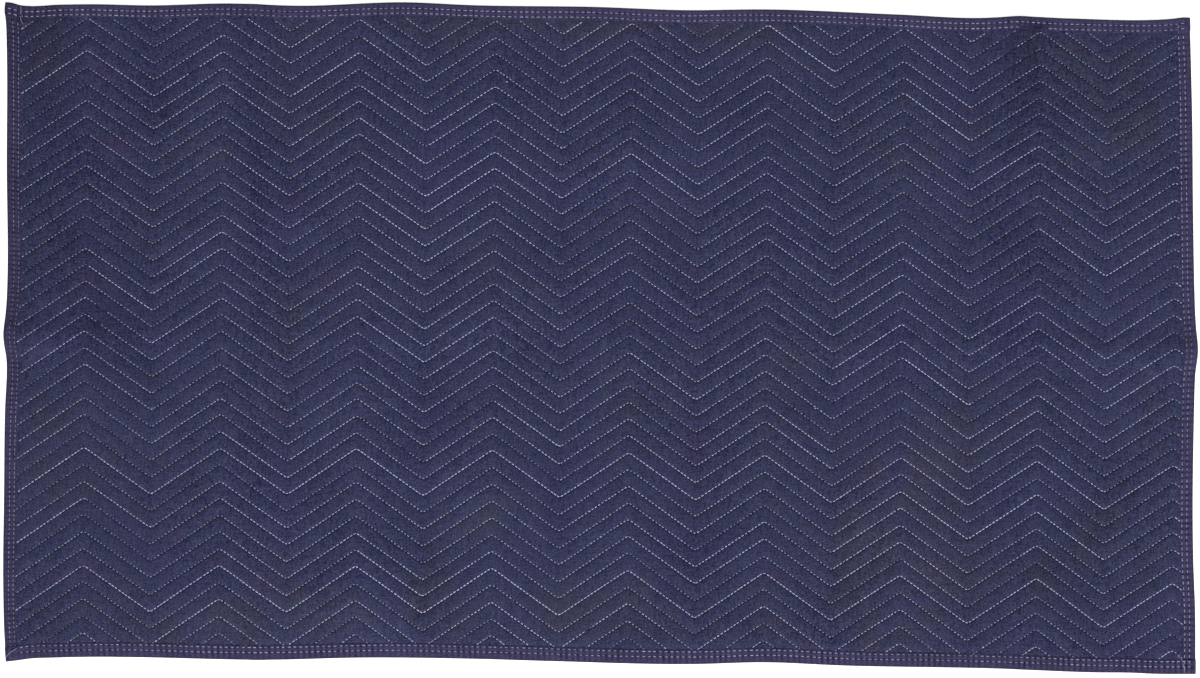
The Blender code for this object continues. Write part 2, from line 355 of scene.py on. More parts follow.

# %% [markdown]
# ## Patches: painted shade and light on folds and creases, and cloth a little off colour
#
# A used blanket isn't one colour. Each patch is a soft ellipse: `light` makes it lighter or
# darker, and `olive` shifts its colour, towards violet where it is below 0. Along the folds and
# creases the `light` of the patches is painted shade, with painted light on some crests and on
# the sides of three creases near the top right corner; elsewhere it makes the cloth lighter or
# darker in places. The olive of the recycled padding shows through the thin cloth near its
# edges, and the rose spots are dye flecks. A function adds up one column of a table at any flat
# point, and the result is kept on the mesh as an attribute, which the material reads.

# %% Patches
LEFT_TAPE_DARK = 0.10  # the left tape is darker than the others
Patch = namedtuple("Patch", "u v reach_u reach_v light olive")
# Patches along folds and creases paint shade, and light on some crests; the rest make the cloth lighter
# or darker in places.
PATCHES = (
    Patch(-0.840, 0.240, 0.100, 0.280, -0.15, -0.2),
    Patch(-0.887, 0.470, 0.060, 0.060, -0.14, 0.5),
    Patch(-0.680, 0.352, 0.040, 0.040, -0.13, -0.3),
    Patch(-0.609, 0.274, 0.040, 0.060, 0.09, 0.0),
    Patch(-0.527, 0.290, 0.022, 0.200, -0.14, -0.6),
    Patch(-0.532, -0.170, 0.022, 0.130, -0.07, 0.0),
    Patch(-0.385, 0.336, 0.045, 0.080, -0.09, 0.0),
    Patch(-0.430, 0.467, 0.090, 0.030, 0.07, 0.6),
    Patch(-0.455, 0.151, 0.035, 0.035, 0.09, 0.0),
    Patch(-0.247, 0.244, 0.070, 0.080, 0.08, -0.1),
    Patch(-0.139, 0.352, 0.035, 0.045, -0.12, 0.0),
    Patch(0.077, 0.236, 0.140, 0.055, 0.10, -0.1),
    Patch(0.020, 0.480, 0.300, 0.035, 0.09, 0.9),
    Patch(0.216, 0.367, 0.160, 0.032, -0.09, 0.0),
    Patch(0.509, 0.290, 0.070, 0.090, 0.09, 0.1),
    Patch(0.570, 0.320, 0.045, 0.035, 0.02, 0.9),
    Patch(0.650, 0.429, 0.035, 0.070, -0.15, -0.3),
    Patch(0.679, 0.367, 0.070, 0.035, -0.12, 0.0),
    Patch(0.640, 0.190, 0.045, 0.170, -0.11, -0.8),
    Patch(0.780, 0.440, 0.110, 0.050, 0.00, 0.7),
    Patch(0.817, 0.367, 0.100, 0.028, -0.10, 0.0),
    Patch(0.802, 0.313, 0.070, 0.060, 0.03, 0.8),
    Patch(0.817, 0.066, 0.100, 0.032, 0.15, 0.0),
    Patch(0.848, -0.057, 0.070, 0.045, 0.12, 0.0),
    Patch(0.694, -0.018, 0.100, 0.050, 0.00, -0.6),
    Patch(-0.771, 0.005, 0.070, 0.070, -0.14, -0.8),
    Patch(-0.856, -0.050, 0.045, 0.045, 0.10, 0.3),
    Patch(-0.748, -0.165, 0.040, 0.035, 0.09, 0.3),
    Patch(-0.678, -0.157, 0.028, 0.028, 0.09, 0.0),
    Patch(-0.830, -0.180, 0.060, 0.100, 0.00, 0.6),
    Patch(-0.154, 0.004, 0.150, 0.014, 0.08, 0.0),
    Patch(-0.432, -0.096, 0.090, 0.110, 0.05, -0.1),
    Patch(-0.018, -0.096, 0.026, 0.100, 0.10, -0.1),
    Patch(-0.262, -0.080, 0.040, 0.045, -0.05, 0.0),
    Patch(-0.177, -0.281, 0.045, 0.045, 0.14, 0.7),
    Patch(0.170, -0.250, 0.075, 0.130, -0.09, -0.2),
    Patch(0.347, -0.126, 0.060, 0.045, -0.05, 0.0),
    Patch(0.524, -0.173, 0.060, 0.060, 0.09, 0.4),
    Patch(0.416, -0.265, 0.045, 0.110, 0.07, 0.5),
    Patch(0.378, -0.327, 0.022, 0.080, -0.08, 0.5),
    Patch(0.500, -0.320, 0.200, 0.160, 0.00, 0.4),
    Patch(0.709, -0.342, 0.085, 0.110, -0.12, 0.0),
    Patch(0.810, -0.240, 0.110, 0.160, 0.00, 0.2),
    Patch(-0.254, -0.366, 0.024, 0.070, -0.11, 0.3),
    Patch(-0.617, -0.450, 0.130, 0.035, 0.11, 0.2),
    Patch(-0.370, -0.445, 0.120, 0.045, 0.18, 0.3),
    Patch(-0.060, -0.430, 0.070, 0.060, 0.09, 0.8),
    Patch(-0.300, -0.430, 0.700, 0.060, 0.00, 0.4),
    # Painted shade: a dark band where cloth bulges over the top tape's inner row, near the top right
    # corner.
    Patch(0.679, 0.489, 0.018, 0.005, -0.35, -0.3),
    # Painted shade and light on the sides of three creases near the top right corner.
    Patch(0.652, 0.425, 0.006, 0.045, -0.32, 0.0),
    Patch(0.661, 0.415, 0.004, 0.040, 0.20, 0.0),
    Patch(0.672, 0.425, 0.005, 0.045, -0.32, 0.0),
)
Fleck = namedtuple("Fleck", "u v reach_u reach_v rose")
FLECKS = (
    Fleck(-0.748, 0.290, 0.030, 0.014, 0.45),
    Fleck(-0.416, 0.074, 0.026, 0.018, 0.55),
    Fleck(-0.786, 0.074, 0.028, 0.018, 0.40),
    Fleck(-0.788, -0.366, 0.028, 0.014, 0.45),
    Fleck(-0.512, -0.388, 0.026, 0.012, 0.40),
    Fleck(0.154, -0.173, 0.022, 0.020, 0.40),
    Fleck(0.285, -0.365, 0.020, 0.014, 0.45),
)


def summed_patches(table, column, u, v):
    """One column of a table of patches, added up at flat points."""
    total = np.zeros(np.broadcast(u, v).shape)
    for patch in table:
        away = np.hypot((u - patch.u) / patch.reach_u, (v - patch.v) / patch.reach_v)
        total = total + getattr(patch, column) * np.exp(-(away**2))
    return total


def keep_on_mesh(mesh, name, values):
    """Stores one number a point on a mesh, for the material to read."""
    attribute = mesh.attributes.new(name, "FLOAT", "POINT")
    attribute.data.foreach_set("value", np.asarray(values, np.float32).ravel())


print(len(PATCHES), "patches and", len(FLECKS), "flecks")

# %% [markdown]
# ## How the bindings press the edge
#
# The padding is about 4 mm thick in the open and is squeezed to 2 mm where the tape is sewn
# over it. Under the tape the panel also has to rise by one layer of tape, and by two in the
# corners, where one strip is sewn over the other. `holds()` says how hard the long and the
# short strips hold any flat point.

# %% Layers and how the strips hold them
TAPE = 0.0008
GAP = 0.0003
LAYER = TAPE + GAP
PRESSED = 0.0020
PRESSED_CORNER = 0.0009
SEAM_TOP = 0.0026
PUFF_TOP = 0.0046
BOUND = 2 * LAYER + PRESSED
BOUND_CORNER = 4 * LAYER + PRESSED_CORNER
FOLD_ROOM = BOUND_CORNER / 2 + 2 * GAP
STRIP_CLEAR = 0.0006
SWELL = 0.0054
Strip = namedtuple("Strip", "name side pitch pucker share thread")
STRIPS = (
    Strip("binding_top", "top", 0.0086, 0.00022, 0.74, 0.0016),
    Strip("binding_bottom", "bottom", 0.0087, 0.00042, 0.62, 0.0018),
    Strip("binding_left", "left", 0.0071, 0.00026, 0.84, 0.0013),
    Strip("binding_right", "right", 0.0086, 0.00034, 0.74, 0.0015),
)

# How far in from the rim the tape reaches and its rows of stitching run, at each side's two ends
Sewn = namedtuple("Sewn", "at outer inner reach")
SEWN = {
    "top": (Sewn(-0.915, 0.0090, 0.0165, 0.0195), Sewn(0.915, 0.0090, 0.0170, 0.0200)),
    "bottom": (Sewn(-0.915, 0.0115, 0.0195, 0.0225), Sewn(0.915, 0.0115, 0.0195, 0.0225)),
    "left": (Sewn(-0.504, 0.0085, 0.0155, 0.0185), Sewn(0.504, 0.0110, 0.0190, 0.0220)),
    "right": (Sewn(-0.504, 0.0095, 0.0170, 0.0200), Sewn(0.504, 0.0110, 0.0185, 0.0215)),
}


def strip_of(side):
    return next(strip for strip in STRIPS if strip.side == side)


def half_run(side):
    """Half the length of a side."""
    return LENGTH / 2 if side in ("top", "bottom") else WIDTH / 2


def sewn(side, at, column):
    """One column of a side's table, at places along it."""
    rows = SEWN[side]
    return smooth_through([row.at for row in rows], [getattr(row, column) for row in rows], at)


def reach_of(side, at):
    """How far a side's tape reaches in, at a place along it."""
    return sewn(side, at, "reach")


def depth_in(side, u, v):
    """How far a flat point is in from a side's rim."""
    if side == "top":
        return WIDTH / 2 - v
    if side == "bottom":
        return WIDTH / 2 + v
    return LENGTH / 2 + u if side == "left" else LENGTH / 2 - u


def hold(side, u, v):
    """1 where a side's tape holds the panel, falling to 0 where the padding has swollen."""
    along = u if side in ("top", "bottom") else v
    held = reach_of(side, along) + STRIP_CLEAR
    return np.clip((held + SWELL - depth_in(side, u, v)) / SWELL, 0.0, 1.0)


def holds(u, v):
    long_hold = np.maximum(hold("top", u, v), hold("bottom", u, v))
    short_hold = np.maximum(hold("left", u, v), hold("right", u, v))
    return long_hold, short_hold


print("bound edge", round(BOUND * 1000, 1), "mm thick, corner", round(BOUND_CORNER * 1000, 1), "mm")

# %% [markdown]
# ## The quilting pattern
#
# The rows of quilting are chevrons about 208 mm wide and 70 mm deep, an inch apart. A quilting
# machine sews them all at once, so they stay parallel, but the cloth creeps under the needles:
# the rows bow up in the middle of the length, and the columns lean. A few round
# sizes say how much. Each row also wanders by under a millimetre of its own, and its corners
# are a little rounded.

# %% Chevron sizes and how the rows lie
CHEVRON = 0.2085
FALL = 0.1027
DEPTH = 0.0702
ROW_PITCH = 0.0256
FIRST_PEAK = -0.9927
CHEVRONS = 10
FIRST_ROW = 0.4932
ROWS_ABOVE = 5
ROWS_IN_ALL = 46
ROW_TILT = -0.0157
HALF_SPAN = 0.92
CORNER_ROUND = 0.018  # how much of a slope its rounded corner takes
ROW_DROP = 0.010  # the rows lie lower than even spacing puts them
ROW_CROWD = 0.02  # and lower again towards both long edges
ROW_BOW = 0.0075  # they bow up in the middle of the length
COLUMN_SHIFT = -0.005
COLUMN_STRETCH = 0.006
COLUMN_LEAN = 0.008  # the columns lean to the right towards the top edge
wander_rng = np.random.default_rng(11)
WANDER = wander_rng.uniform(0, 2 * math.pi, (ROWS_IN_ALL + 2, 3))
LEG_ENDS = np.arange(2 * CHEVRONS)
LEG_COLUMNS = FIRST_PEAK + (LEG_ENDS // 2) * CHEVRON + (LEG_ENDS % 2) * FALL


def row_wander(row, column):
    """How far one row strays from the pattern."""
    i = np.clip(np.floor(row + ROWS_ABOVE).astype(int), 0, ROWS_IN_ALL)
    share = row + ROWS_ABOVE - i

    def stray(k):
        a, b, c = (WANDER[k, n] for n in range(3))
        slow = 0.5 * np.sin(7 * column + a) + 0.35 * np.sin(19 * column + b)
        return slow + 0.2 * np.sin(43 * column + c)

    return 0.0009 * (stray(i) * (1 - share) + stray(i + 1) * share)


def quilt_point(row, leg):
    """Where a row of quilting lies, at a number of chevron legs from its start."""
    column = np.interp(leg, LEG_ENDS, LEG_COLUMNS)
    fall = 1 - np.abs(np.mod(leg, 2.0) - 1)
    rounded = np.hypot(fall, CORNER_ROUND) - np.hypot(1 - fall, CORNER_ROUND) + 1
    lowest = 1 + CORNER_ROUND - math.hypot(1, CORNER_ROUND)
    rounded = (rounded - lowest) / (2 - 2 * lowest)
    straight = FIRST_ROW - row * ROW_PITCH - rounded * DEPTH + ROW_TILT * column
    bow = 1 - (column / HALF_SPAN) ** 2
    y = straight - ROW_DROP - ROW_CROWD * straight**2 + ROW_BOW * bow + row_wander(row, column)
    x = column * (1 + COLUMN_STRETCH) + COLUMN_SHIFT + COLUMN_LEAN * straight
    return x - MIDDLE_X, y


print("one leg spans", FALL, "m; rows", ROWS_IN_ALL)

# %% [markdown]
# ## The panel's face and back
#
# A puff is flat in its middle and drops quickly to the seam, so heights are read from the
# distance to the seam, not from a sine wave. `face_height()` and `back_height()` give the two
# sides of the cloth at any flat point, from how puffed it is there: 0 on a seam, 1 between.

# %% Heights of the face and the back
SEAM_FLAT = 0.0009  # half the width of the seam's floor, where the thread lies
DIP_REACH = 0.0012  # how quickly the cloth rises from there
BACK_DIP = 0.0010  # how far a seam pulls the back up
LOFT_WAVES = (
    (9.0, 4.0, 0.3),
    (-5.0, 11.0, 1.7),
    (17.0, -8.0, 4.1),
    (13.0, 21.0, 2.2),
    (-31.0, 12.0, 5.0),
    (41.0, 33.0, 0.9),
)


def puffed(row):
    """0 on a row of quilting, near 1 halfway between two."""
    away = np.abs(row - np.round(row)) * ROW_PITCH * math.cos(math.atan2(DEPTH, FALL))
    return 1 - np.exp(-np.maximum(away - SEAM_FLAT, 0) / DIP_REACH)


def loft(u, v):
    """How full the padding is, which changes slowly over the blanket: about 0.8 to 1.2."""
    waves = sum(np.sin(a * u + b * v + c) for a, b, c in LOFT_WAVES)
    return 1 + 0.07 * waves


def face_height(u, v, puff):
    long_hold, short_hold = holds(u, v)
    held = np.maximum(long_hold, short_hold)
    quilted = SEAM_TOP + (PUFF_TOP - SEAM_TOP) * puff * loft(u, v) + creased(u, v)
    return (1 - held) * quilted + held * (LAYER + PRESSED) + lift(u, v)


def back_height(u, v, puff):
    long_hold, short_hold = holds(u, v)
    open_cloth = 1 - np.maximum(long_hold, short_hold)
    return LAYER * (long_hold + short_hold) + BACK_DIP * (1 - puff) * open_cloth + lift(u, v)


print("face from", SEAM_TOP * 1000, "to", PUFF_TOP * 1000, "mm")


# %% [markdown]
# ## The panel as a mesh
#
# The grid's rows follow the quilting, crowded near each seam where the cloth bends, and its
# columns are crowded at the chevrons' corners. That puts every seam exactly on mesh edges.
# The grid is larger than the blanket, so four straight cuts in the flat trim it, as a cutter
# would. The back is a coarser grid of the same kind, and a narrow wall joins the two inside
# the tape's fold, where it can't be seen.

# %% Trimmed sheets
FACE_ROW_STEPS = (0.0, 0.042, 0.09, 0.17, 0.5, 0.83, 0.91, 0.958)
BACK_ROW_STEPS = (0.0, 0.15, 0.5, 0.85)
FACE_LEG_STEPS = 12
BACK_LEG_STEPS = 5


def grid_places(row_steps, leg_steps):
    rows = (np.arange(ROWS_IN_ALL)[:, None] + np.array(row_steps)).ravel() - ROWS_ABOVE
    even = np.arange(leg_steps) / leg_steps
    crowded = even - 0.12 * np.sin(2 * math.pi * even)
    legs = (np.arange(len(LEG_ENDS) - 1)[:, None] + crowded).ravel()
    return rows, legs


def trim(sheet, u, v):
    """Cuts a flat sheet to a rectangle that reaches from -u to u and from -v to v."""
    for place, out in (((u, 0), (1, 0)), ((-u, 0), (-1, 0)), ((0, v), (0, 1)), ((0, -v), (0, -1))):
        bmesh.ops.bisect_plane(
            sheet,
            geom=sheet.verts[:] + sheet.edges[:] + sheet.faces[:],
            dist=1e-6,
            plane_co=(*place, 0),
            plane_no=(*out, 0),
            clear_outer=True,
        )


def quilted_sheet(row_steps, leg_steps):
    """A trimmed flat sheet of the pattern, with how puffed it is as z."""
    rows, legs = grid_places(row_steps, leg_steps)
    row, leg = np.meshgrid(rows, legs, indexing="ij")
    u, v = flat(*quilt_point(row, leg))
    points = np.stack([u, v, puffed(row)], axis=-1)
    inside = (np.abs(u) < LENGTH / 2 + 0.03) & (np.abs(v) < WIDTH / 2 + 0.03)
    mesh = bpy.data.meshes.new("sheet")
    i = np.arange(row.size).reshape(row.shape)
    quads = np.stack([i[1:, :-1], i[1:, 1:], i[:-1, 1:], i[:-1, :-1]], axis=-1)
    near = inside[1:, :-1] | inside[1:, 1:] | inside[:-1, 1:] | inside[:-1, :-1]
    mesh.from_pydata(points.reshape(-1, 3).tolist(), [], quads[near].tolist())
    sheet = bmesh.new()
    sheet.from_mesh(mesh)
    bpy.data.meshes.remove(mesh)
    bmesh.ops.delete(sheet, geom=[p for p in sheet.verts if not p.link_faces], context="VERTS")
    trim(sheet, LENGTH / 2 - FOLD_ROOM, WIDTH / 2 - FOLD_ROOM)
    return sheet


def raise_sheet(sheet, height):
    """Moves a flat sheet to where it lies, at the height that a function gives."""
    flat_points = np.array([p.co for p in sheet.verts])
    u, v, puff = flat_points.T
    x, y = lay(u, v)
    for point, place in zip(sheet.verts, np.stack([x, y, height(u, v, puff)], axis=-1)):
        point.co = place


print("face steps per row", len(FACE_ROW_STEPS), "and per leg", FACE_LEG_STEPS)


# %% The closed panel
def add_piece(name, mesh):
    piece = bpy.data.objects.new(name, mesh)
    scene.collection.objects.link(piece)
    mesh.polygons.foreach_set("use_smooth", np.ones(len(mesh.polygons), bool))
    return piece


def make_panel():
    face = quilted_sheet(FACE_ROW_STEPS, FACE_LEG_STEPS)
    raise_sheet(face, face_height)
    back = quilted_sheet(BACK_ROW_STEPS, BACK_LEG_STEPS)
    raise_sheet(back, back_height)
    bmesh.ops.reverse_faces(back, faces=back.faces[:])
    back_mesh = bpy.data.meshes.new("back")
    back.to_mesh(back_mesh)
    back.free()
    face.from_mesh(back_mesh)
    bpy.data.meshes.remove(back_mesh)
    rims = [edge for edge in face.edges if edge.is_boundary]
    bmesh.ops.bridge_loops(face, edges=rims)
    bmesh.ops.triangulate(face, faces=[f for f in face.faces if len(f.verts) > 4])
    mesh = bpy.data.meshes.new("quilted_cloth_panel")
    face.to_mesh(mesh)
    face.free()
    places = np.zeros(3 * len(mesh.vertices))
    mesh.vertices.foreach_get("co", places)
    u, v = flat(places[0::3], places[1::3])
    light = summed_patches(PATCHES, "light", u, v)
    # Painted light: a lighter band on the panel just beside the bottom tape's inner edge, over the shade
    # that falls along that edge.
    beside = (depth_in("bottom", u, v) - reach_of("bottom", u) - 0.0015) / 0.0025
    keep_on_mesh(mesh, "light", light + 0.25 * np.exp(-(beside**2)))
    keep_on_mesh(mesh, "olive", summed_patches(PATCHES, "olive", u, v))
    keep_on_mesh(mesh, "rose", summed_patches(FLECKS, "rose", u, v))
    return add_piece("quilted_cloth_panel", mesh)


panel = make_panel()
panel.data.calc_loop_triangles()
print("panel:", len(panel.data.loop_triangles), "triangles")

# %% [markdown]
# ## Stitches
#
# A row of lockstitch shows as dashes: the thread lies on the cloth for about 4 mm, dives into
# a needle hole, and comes up 2 mm later. Each dash is a small closed spindle with two rings of
# four points and a tip at each end, and each needle hole is a tiny pit painted dark as shadow.
# One of each is drawn and copied with numpy to every place along a seam, which is far quicker
# than making thousands of objects. Every copy keeps a `tone`: a taut stitch has a high one that
# paints it lit, a slack stitch a low one that paints it shaded, and a needle hole one below zero.

# %% One stitch, one needle hole, and many copies of them
Stitches = namedtuple("Stitches", "starts ends widths tones")
SPINDLE_POINTS = [(-0.5, 0.0, -0.5)]
for end in (-0.32, 0.32):
    SPINDLE_POINTS += [(end, -0.45, 0.0), (end, 0.0, 0.75), (end, 0.45, 0.0), (end, 0.0, -0.5)]
SPINDLE_POINTS += [(0.5, 0.0, -0.5)]
SPINDLE_FACES = []
for k in range(4):
    n = (k + 1) % 4
    SPINDLE_FACES += [(0, 1 + n, 1 + k), (1 + k, 1 + n, 5 + n), (1 + k, 5 + n, 5 + k), (9, 5 + k, 5 + n)]
PIT_POINTS = [(-0.5, -0.5, 0.0), (0.5, -0.5, 0.0), (0.5, 0.5, 0.0), (-0.5, 0.5, 0.0), (0.0, 0.0, -1.0)]
PIT_FACES = [(0, 1, 2), (0, 2, 3), (1, 0, 4), (2, 1, 4), (3, 2, 4), (0, 3, 4)]
SLIM_POINTS = [(-0.5, 0.0, 0.5), (0.0, -0.5, 0.5), (0.0, 0.5, 0.5), (0.0, 0.0, -0.6), (0.5, 0.0, 0.5)]
SLIM_FACES = [(0, 1, 2), (0, 3, 1), (0, 2, 3), (4, 2, 1), (4, 1, 3), (4, 3, 2)]


def copies(points, faces, stitches, height):
    """The points and faces of one drawn shape, set along every stitch."""
    points = np.array(points)
    middle, run = (stitches.starts + stitches.ends) / 2, stitches.ends - stitches.starts
    side = np.stack([-run[:, 1], run[:, 0], np.zeros(len(run))], axis=-1)
    side /= np.linalg.norm(side, axis=1)[:, None]
    places = (
        middle[:, None]
        + run[:, None] * points[:, 0, None]
        + side[:, None] * points[:, 1, None] * stitches.widths[:, None, None]
        + np.array([0, 0, 1.0]) * points[:, 2, None] * height
    )
    first = np.arange(len(run))[:, None, None] * len(points)
    tones = np.repeat(stitches.tones, len(points))
    return places.reshape(-1, 3), (first + np.array(faces)).reshape(-1, 3), tones


def stitch_piece(name, groups):
    """One mesh of several groups of copies."""
    places, faces, tones, count = [], [], [], 0
    for group_places, group_faces, group_tones in groups:
        places.append(group_places)
        faces.append(group_faces + count)
        tones.append(group_tones)
        count += len(group_places)
    mesh = bpy.data.meshes.new(name)
    mesh.from_pydata(np.concatenate(places).tolist(), [], np.concatenate(faces).tolist())
    keep_on_mesh(mesh, "tone", np.concatenate(tones))
    return add_piece(name, mesh)


def joined(parts):
    return Stitches(*(np.concatenate(column) for column in zip(*parts)))


# Each pit is painted dark as the shadow in and round a needle hole.
def needle_holes(stitches, size, tone):
    """A pit in each gap after a stitch."""
    run = stitches.ends - stitches.starts
    run = run / np.linalg.norm(run, axis=1)[:, None]
    starts = stitches.ends + run * 0.0001
    wide = np.full(len(run), size)
    return Stitches(starts, starts + run * size, wide, np.full(len(run), tone))


print("one stitch:", len(SPINDLE_FACES), "triangles, one needle hole:", len(PIT_FACES))

# %% [markdown]
# To sew a row, its line is sampled finely, the distance along it is added up, and the needle
# holes are set along that distance. Each slope of each chevron has its own tension: on a
# taut slope the dashes nearly meet and are painted lit, and on a slack one they are short and
# painted shaded, as if half sunk. Two whole rows are tight and painted lit all the way along,
# and the row under each is slack.
# Where a crease folds over a seam, its stitches are hidden.

# %% Places where a crease hides the stitches
Hidden = namedtuple("Hidden", "u v reach_u reach_v")
HIDDEN = (
    Hidden(-0.7690, 0.032, 0.008, 0.022),
    Hidden(0.6500, 0.446, 0.018, 0.010),
    Hidden(0.6330, 0.418, 0.012, 0.012),
    Hidden(0.6280, 0.452, 0.012, 0.012),
    Hidden(-0.7040, 0.436, 0.014, 0.008),
    Hidden(-0.6300, 0.401, 0.016, 0.007),
    Hidden(0.6740, 0.4875, 0.021, 0.005),
)


def shows(u, v):
    """True where no crease hides a stitch."""
    clear = np.ones(len(u), bool)
    for place in HIDDEN:
        clear &= np.hypot((u - place.u) / place.reach_u, (v - place.v) / place.reach_v) > 1
    return clear


print(len(HIDDEN), "hidden places")

# %% Sew the quilting rows
STITCH_PITCH = 0.0061
STITCH_SHARE = 0.68
TAUT_SHARE = 0.88
THREAD_WIDTH = 0.0014
THREAD_HEIGHT = 0.0006
WORN_PLACES = (-0.85, -0.5, 0.5, 0.85)  # thread is duller towards the two ends
WORN_THREAD = (0.17, 0.0, 0.0, 0.08)
# A needle hole and the shade round it, painted as one dark pit.
HOLE_SIZE = 0.0018
TIGHT_ROWS = (26, 33)
SLACK_ROWS = (27, 34)
# How far under the tape a row is still sewn; below 0 it stops short of the tape
UNDER_TAPE = {"top": -0.002, "bottom": 0.002, "left": 0.002, "right": 0.002}


def resample(places, distances, at):
    return np.stack([np.interp(at, distances, places[:, n]) for n in range(places.shape[1])], axis=-1)


def sewn_row(row, rng, height):
    """One row's stitches, on the side of the cloth that a height function gives."""
    leg = np.linspace(0, len(LEG_ENDS) - 1, 2400)
    x, y = quilt_point(np.full_like(leg, row), leg)
    u, v = flat(x, y)
    line = np.stack([u, v, x, y, leg], axis=-1)
    distances = np.concatenate([[0], np.cumsum(np.hypot(np.diff(x), np.diff(y)))])
    holes = np.cumsum(STITCH_PITCH * rng.normal(1.0, 0.05, int(distances[-1] / STITCH_PITCH)))
    holes = holes[holes < distances[-1] - STITCH_PITCH]
    start = resample(line, distances, holes)
    slope = start[:, 4].astype(int)
    tension = np.clip(rng.normal(0.42, 0.30, len(LEG_ENDS)), 0, 1)
    if row in TIGHT_ROWS:
        tension = tension * 0 + 1.0
    if row in SLACK_ROWS:
        tension = tension * 0.4
    tension = tension[slope] + rng.normal(0, 0.05, len(slope))
    share = STITCH_SHARE + (TAUT_SHARE - STITCH_SHARE) * tension
    end = resample(line, distances, holes + STITCH_PITCH * share * rng.normal(1.0, 0.05, len(holes)))
    inside = shows(start[:, 0], start[:, 1])
    for place in (start, end):
        for side in ("top", "bottom", "left", "right"):
            along = place[:, 0] if side in ("top", "bottom") else place[:, 1]
            last = reach_of(side, along) - UNDER_TAPE[side]
            inside &= depth_in(side, place[:, 0], place[:, 1]) > last
    slow = np.sin(3.1 * start[:, 0] + rng.uniform(0, 6)) + np.sin(11 * start[:, 0] + rng.uniform(0, 6))
    # Painted light: a high tension paints a stitch lit and a low one shaded; the rest of the tone varies
    # at random along the row.
    tone = 0.52 + 0.34 * tension + 0.06 * slow + rng.normal(0, 0.04) + rng.normal(0, 0.09, len(slope))
    tone = tone - np.interp(start[:, 0], WORN_PLACES, WORN_THREAD)
    seam = np.zeros(len(start))
    ends = []
    for place in (start, end):
        ends.append(np.column_stack([place[:, 2], place[:, 3], height(place[:, 0], place[:, 1], seam)]))
    width = THREAD_WIDTH * (0.9 + 0.2 * tension) * rng.normal(1.0, 0.07, len(start))
    sewn_stitches = Stitches(ends[0], ends[1], width, np.clip(tone, 0.2, 1.2))
    return Stitches(*(column[inside] for column in sewn_stitches))


def sew_face(name, rows, seed, extra=()):
    rng = np.random.default_rng(seed)
    stitches = joined([sewn_row(row, rng, face_height) for row in rows] + list(extra))
    # Needle holes, painted dark as shadow.
    holes = needle_holes(stitches, HOLE_SIZE, -1.0)
    thread = copies(SPINDLE_POINTS, SPINDLE_FACES, stitches, THREAD_HEIGHT)
    return stitch_piece(name, [thread, copies(PIT_POINTS, PIT_FACES, holes, HOLE_SIZE / 4)])


def sew_back(name, rows, seed):
    rng = np.random.default_rng(seed)
    stitches = joined([sewn_row(row, rng, back_height) for row in rows])
    return stitch_piece(name, [copies(SLIM_POINTS, SLIM_FACES, stitches, -THREAD_HEIGHT / 2)])


LINT = (
    Stitches(
        np.array([(-0.1448, 0.3938, 0.0056), (-0.1430, 0.3952, 0.0056), (0.3302, -0.1072, 0.0056)]),
        np.array([(-0.1424, 0.3950, 0.0056), (-0.1418, 0.3936, 0.0056), (0.3328, -0.1090, 0.0056)]),
        np.array([0.0012, 0.0010, 0.0012]),
        np.array([1.1, 1.0, 1.0]),
    ),
)
HALF_ROWS = 18
upper_thread = sew_face("quilting_thread_upper", range(-3, HALF_ROWS), 21, LINT)
lower_thread = sew_face("quilting_thread_lower", range(HALF_ROWS, 40), 22)
back_thread = sew_back("quilting_thread_back", range(-3, 40), 23)
for thread in (upper_thread, lower_thread, back_thread):
    print(thread.name, len(thread.data.polygons), "triangles")

# %% [markdown]
# ## The binding tape
#
# Each strip is one long tape folded in half over the edge. It is swept along its side: the
# same cross-section every millimetre and a half, closed into a tube of cloth. A machine with
# two needles sews it, so both rows have their needle holes at the same places, and each pair
# of holes pulls a small valley across the tape. Between valleys the tape puckers up, which is
# what makes a bound edge look sewn. The long strips were sewn last, so their square ends lie
# over the short strips in the corners, and are a little thicker there.

# %% Needle holes of each side, and the relief that they pull in the tape
STATION = 0.0015
GROOVE = 0.0006
GROOVE_REACH = 0.0020
hole_rng = np.random.default_rng(31)


def hole_places(strip):
    half = half_run(strip.side)
    places = np.arange(-half, half + strip.pitch, strip.pitch)
    return places + 0.004 * np.sin(places * 2.7 + 1) + hole_rng.normal(0, 0.0003, len(places))


HOLES = {strip.side: hole_places(strip) for strip in STRIPS}


def pucker_wave(side, at):
    """1 in the middle of each stitch and -1 in each gap, by the holes of a side."""
    count = np.interp(at, HOLES[side], np.arange(len(HOLES[side])))
    return np.cos(2 * math.pi * (count - strip_of(side).share / 2))


def groove_share(side, at, depth):
    """1 along a row of stitching, falling to 0 beside it."""
    total = np.zeros(np.broadcast(at, depth).shape)
    for column in ("outer", "inner"):
        total = total + np.exp(-(((depth - sewn(side, at, column)) / GROOVE_REACH) ** 2))
    return total


def pucker_share(side, at, depth):
    """How strongly the tape puckers: fully from rim to inner row, and unevenly along."""
    uneven = 0.65 + 0.35 * np.sin(at * 23.0 + len(side)) * np.sin(at * 57.0 + 1.0)
    inner = sewn(side, at, "inner")
    return uneven * np.clip(depth / 0.004, 0, 1) * np.clip((inner + 0.002 - depth) / 0.002, 0, 1)


def tape_relief(side, at, depth):
    """The grooves and puckers of the tape's face, above its plain height."""
    wave = pucker_wave(side, at)
    relief = -GROOVE * groove_share(side, at, depth) * (0.8 - 0.2 * wave)
    relief = relief + strip_of(side).pucker * wave * pucker_share(side, at, depth)
    relief = relief - 0.0004 * np.clip((depth - reach_of(side, at) + 0.0016) / 0.0016, 0, 1)
    return relief + creased(*strip_point(side, at, depth))


